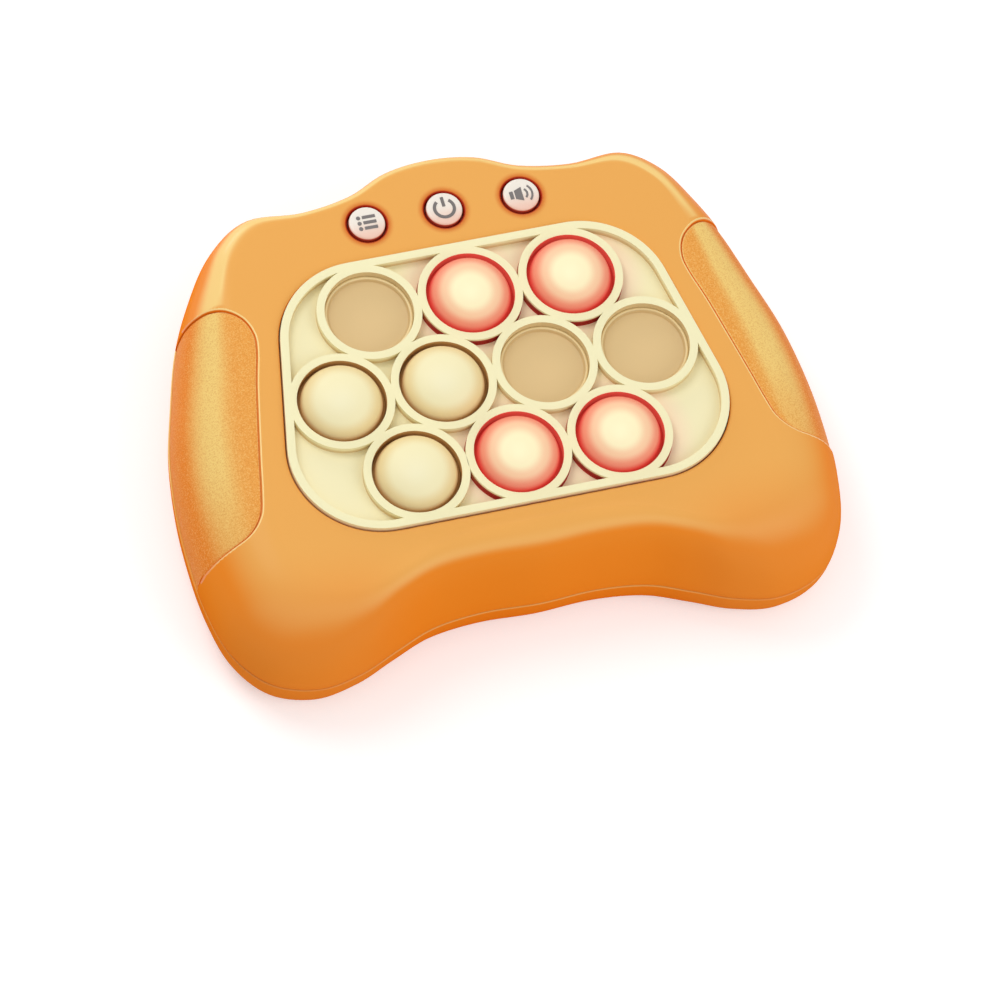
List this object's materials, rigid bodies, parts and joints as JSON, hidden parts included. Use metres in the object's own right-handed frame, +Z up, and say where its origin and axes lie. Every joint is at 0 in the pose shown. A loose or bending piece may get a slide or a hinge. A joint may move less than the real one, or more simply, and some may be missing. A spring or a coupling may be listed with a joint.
{
  "type": "electronic fidget game",
  "caption": "Hand-held fidget console with silicone bubbles that push in over lit wells, push buttons, textured side grips and a battery door.",
  "frame": {"origin": "middle of the underside, on the surface the console stands on", "axes": "+X to the player's right, +Y to the edge with the push buttons, +Z up out of the bubble panel"},
  "size_m": [0.161, 0.1254, 0.0397],
  "materials": {
    "orange_plastic": "moulded, soft gloss",
    "grip_rubber": "fine grain with a satin sheen",
    "cream_silicone": "satin",
    "bubble_silicone": "satin, slightly translucent",
    "pressed_silicone": "satin, slightly translucent, unlit",
    "lit_silicone": "satin, lit red from below",
    "white_plastic": "polished, with a grey printed icon",
    "well_plastic": "moulded white",
    "circuit_board": "green solder mask",
    "black_plastic": "moulded black",
    "led_lens": "clear resin",
    "steel": "zinc plated",
    "cell_jacket": "plain blue film"
  },
  "bodies": {
    "console": {"upper_housing": "orange_plastic", "lower_housing": "orange_plastic", "right_grip": "grip_rubber", "left_grip": "grip_rubber", "bubble_pad": "cream_silicone", "light_well_plate": "well_plastic", "main_board": "circuit_board", "button_board": "circuit_board", "controller_chip": "black_plastic", "speaker": "black_plastic", "bubble_switch_1": "black_plastic", "bubble_switch_2": "black_plastic", "bubble_switch_3": "black_plastic", "bubble_switch_4": "black_plastic", "bubble_switch_5": "black_plastic", "bubble_switch_6": "black_plastic", "bubble_switch_7": "black_plastic", "bubble_switch_8": "black_plastic", "bubble_switch_9": "black_plastic", "bubble_switch_10": "black_plastic", "led_1": "led_lens", "led_2": "led_lens", "led_3": "led_lens", "led_4": "led_lens", "led_5": "led_lens", "led_6": "led_lens", "led_7": "led_lens", "led_8": "led_lens", "led_9": "led_lens", "led_10": "led_lens", "button_switch_1": "black_plastic", "button_switch_2": "black_plastic", "button_switch_3": "black_plastic", "battery_cell_1": "cell_jacket", "battery_cell_2": "cell_jacket", "battery_cell_3": "cell_jacket", "right_battery_contact": "steel", "left_battery_contact": "steel", "case_screw_1": "steel", "case_screw_2": "steel", "case_screw_3": "steel", "case_screw_4": "steel", "case_screw_5": "steel", "case_screw_6": "steel"},
    "bubble_1": {"bubble_1": "pressed_silicone"},
    "bubble_2": {"bubble_2": "lit_silicone"},
    "bubble_3": {"bubble_3": "lit_silicone"},
    "bubble_4": {"bubble_4": "bubble_silicone"},
    "bubble_5": {"bubble_5": "bubble_silicone"},
    "bubble_6": {"bubble_6": "pressed_silicone"},
    "bubble_7": {"bubble_7": "pressed_silicone"},
    "bubble_8": {"bubble_8": "bubble_silicone"},
    "bubble_9": {"bubble_9": "lit_silicone"},
    "bubble_10": {"bubble_10": "lit_silicone"},
    "mode_button": {"mode_button": "white_plastic"},
    "power_button": {"power_button": "white_plastic"},
    "volume_button": {"volume_button": "white_plastic"},
    "battery_door": {"battery_door": "orange_plastic", "battery_door_screw": "steel"}
  },
  "joints": [
    {"name": "bubble_1_push", "type": "slide", "parent": "console", "child": "bubble_1", "axis": [0, 0, 1], "range_m": [0, 0.012]},
    {"name": "bubble_2_push", "type": "slide", "parent": "console", "child": "bubble_2", "axis": [0, 0, 1], "range_m": [-0.012, 0]},
    {"name": "bubble_3_push", "type": "slide", "parent": "console", "child": "bubble_3", "axis": [0, 0, 1], "range_m": [-0.012, 0]},
    {"name": "bubble_4_push", "type": "slide", "parent": "console", "child": "bubble_4", "axis": [0, 0, 1], "range_m": [-0.012, 0]},
    {"name": "bubble_5_push", "type": "slide", "parent": "console", "child": "bubble_5", "axis": [0, 0, 1], "range_m": [-0.012, 0]},
    {"name": "bubble_6_push", "type": "slide", "parent": "console", "child": "bubble_6", "axis": [0, 0, 1], "range_m": [0, 0.012]},
    {"name": "bubble_7_push", "type": "slide", "parent": "console", "child": "bubble_7", "axis": [0, 0, 1], "range_m": [0, 0.012]},
    {"name": "bubble_8_push", "type": "slide", "parent": "console", "child": "bubble_8", "axis": [0, 0, 1], "range_m": [-0.012, 0]},
    {"name": "bubble_9_push", "type": "slide", "parent": "console", "child": "bubble_9", "axis": [0, 0, 1], "range_m": [-0.012, 0]},
    {"name": "bubble_10_push", "type": "slide", "parent": "console", "child": "bubble_10", "axis": [0, 0, 1], "range_m": [-0.012, 0]},
    {"name": "mode_button_press", "type": "slide", "parent": "console", "child": "mode_button", "axis": [0, 0, 1], "range_m": [-0.0008, 0], "stiffness_N_per_m": 600},
    {"name": "power_button_press", "type": "slide", "parent": "console", "child": "power_button", "axis": [0, 0, 1], "range_m": [-0.0008, 0], "stiffness_N_per_m": 600},
    {"name": "volume_button_press", "type": "slide", "parent": "console", "child": "volume_button", "axis": [0, 0, 1], "range_m": [-0.0008, 0], "stiffness_N_per_m": 600},
    {"name": "battery_door_lift", "type": "slide", "parent": "console", "child": "battery_door", "axis": [0, 0, -1], "range_m": [0, 0.012]}
  ]
}
